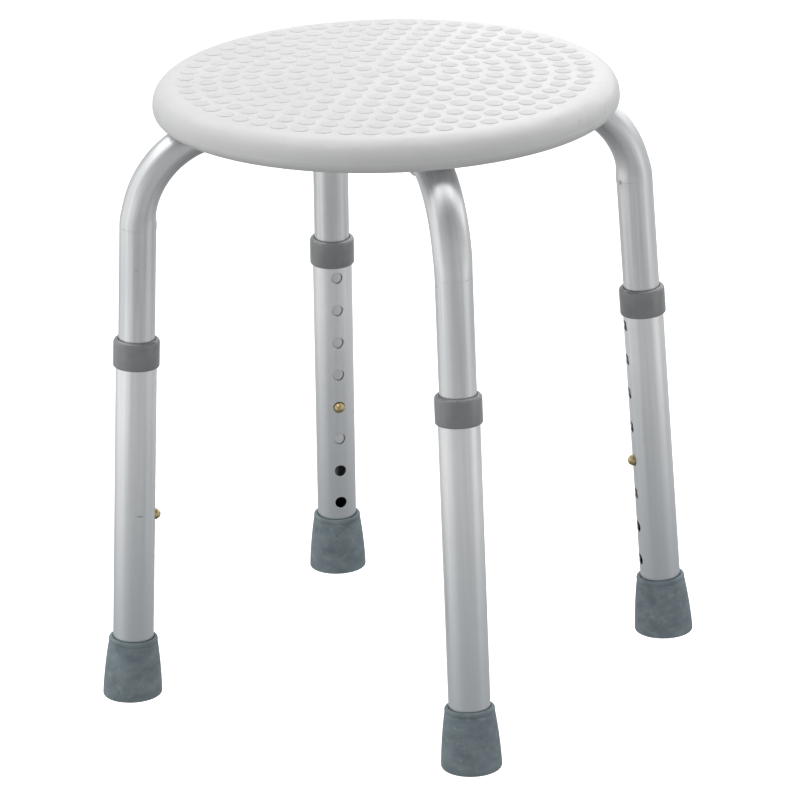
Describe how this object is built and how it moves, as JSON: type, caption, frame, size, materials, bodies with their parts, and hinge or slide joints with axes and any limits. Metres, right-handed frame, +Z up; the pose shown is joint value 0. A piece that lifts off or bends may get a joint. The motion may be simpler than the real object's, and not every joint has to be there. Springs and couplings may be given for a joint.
{
  "type": "shower stool",
  "caption": "Round shower stool with a moulded seat on splayed tube legs that telescope, locked by spring buttons in a row of holes, on tapered rubber feet.",
  "frame": {"origin": "on the floor, under the middle of the seat, midway between the four feet", "axes": "+Z up; +X towards the right leg and +Y towards the back leg, the way the front leg faces the viewer"},
  "size_m": [0.4314, 0.4314, 0.4355],
  "materials": {
    "seat_plastic": "satin",
    "anodised_aluminium": "satin",
    "collar_plastic": "satin",
    "foot_rubber": "matte",
    "brass": "satin",
    "zinc_plated_steel": "satin",
    "spring_steel": "satin"
  },
  "bodies": {
    "root": {"seat": "seat_plastic", "frame_tube_left_right": "anodised_aluminium", "frame_tube_front_back": "anodised_aluminium", "centre_bolt": "zinc_plated_steel", "centre_washer": "zinc_plated_steel", "arm_screw_front": "zinc_plated_steel", "arm_screw_right": "zinc_plated_steel", "arm_screw_back": "zinc_plated_steel", "arm_screw_left": "zinc_plated_steel", "saddle_washer_front": "zinc_plated_steel", "saddle_washer_right": "zinc_plated_steel", "saddle_washer_back": "zinc_plated_steel", "saddle_washer_left": "zinc_plated_steel", "spring_clip_front": "spring_steel", "spring_clip_right": "spring_steel", "spring_clip_back": "spring_steel", "spring_clip_left": "spring_steel"},
    "leg_front": {"outer_tube_front": "anodised_aluminium", "collar_front": "collar_plastic", "rubber_foot_front": "foot_rubber", "foot_washer_front": "zinc_plated_steel"},
    "leg_right": {"outer_tube_right": "anodised_aluminium", "collar_right": "collar_plastic", "rubber_foot_right": "foot_rubber", "foot_washer_right": "zinc_plated_steel"},
    "leg_back": {"outer_tube_back": "anodised_aluminium", "collar_back": "collar_plastic", "rubber_foot_back": "foot_rubber", "foot_washer_back": "zinc_plated_steel"},
    "leg_left": {"outer_tube_left": "anodised_aluminium", "collar_left": "collar_plastic", "rubber_foot_left": "foot_rubber", "foot_washer_left": "zinc_plated_steel"},
    "button_front": {"snap_button_front": "brass"},
    "button_right": {"snap_button_right": "brass"},
    "button_back": {"snap_button_back": "brass"},
    "button_left": {"snap_button_left": "brass"}
  },
  "joints": [
    {"name": "leg_slide_front", "type": "slide", "parent": "root", "child": "leg_front", "axis": [0, -0.0543, -0.9985], "range_m": [-0.0762, 0.1016], "deforming": ["snap_button_front"]},
    {"name": "leg_slide_right", "type": "slide", "parent": "root", "child": "leg_right", "axis": [0.0543, 0, -0.9985], "range_m": [-0.0762, 0.1016], "deforming": ["snap_button_right"]},
    {"name": "leg_slide_back", "type": "slide", "parent": "root", "child": "leg_back", "axis": [0, 0.0543, -0.9985], "range_m": [-0.0762, 0.1016], "deforming": ["snap_button_back"]},
    {"name": "leg_slide_left", "type": "slide", "parent": "root", "child": "leg_left", "axis": [-0.0543, 0, -0.9985], "range_m": [-0.0762, 0.1016], "deforming": ["snap_button_left"]},
    {"name": "button_press_front", "type": "slide", "parent": "root", "child": "button_front", "axis": [0, -0.9985, 0.0543], "range_m": [0, 0.0055], "stiffness_N_per_m": 1500, "springref_m": -0.002, "deforming": ["spring_clip_front"]},
    {"name": "button_press_right", "type": "slide", "parent": "root", "child": "button_right", "axis": [0.9985, 0, 0.0543], "range_m": [0, 0.0055], "stiffness_N_per_m": 1500, "springref_m": -0.002, "deforming": ["spring_clip_right"]},
    {"name": "button_press_back", "type": "slide", "parent": "root", "child": "button_back", "axis": [0, 0.9985, 0.0543], "range_m": [0, 0.0055], "stiffness_N_per_m": 1500, "springref_m": -0.002, "deforming": ["spring_clip_back"]},
    {"name": "button_press_left", "type": "slide", "parent": "root", "child": "button_left", "axis": [-0.9985, 0, 0.0543], "range_m": [0, 0.0055], "stiffness_N_per_m": 1500, "springref_m": -0.002, "deforming": ["spring_clip_left"]}
  ]
}
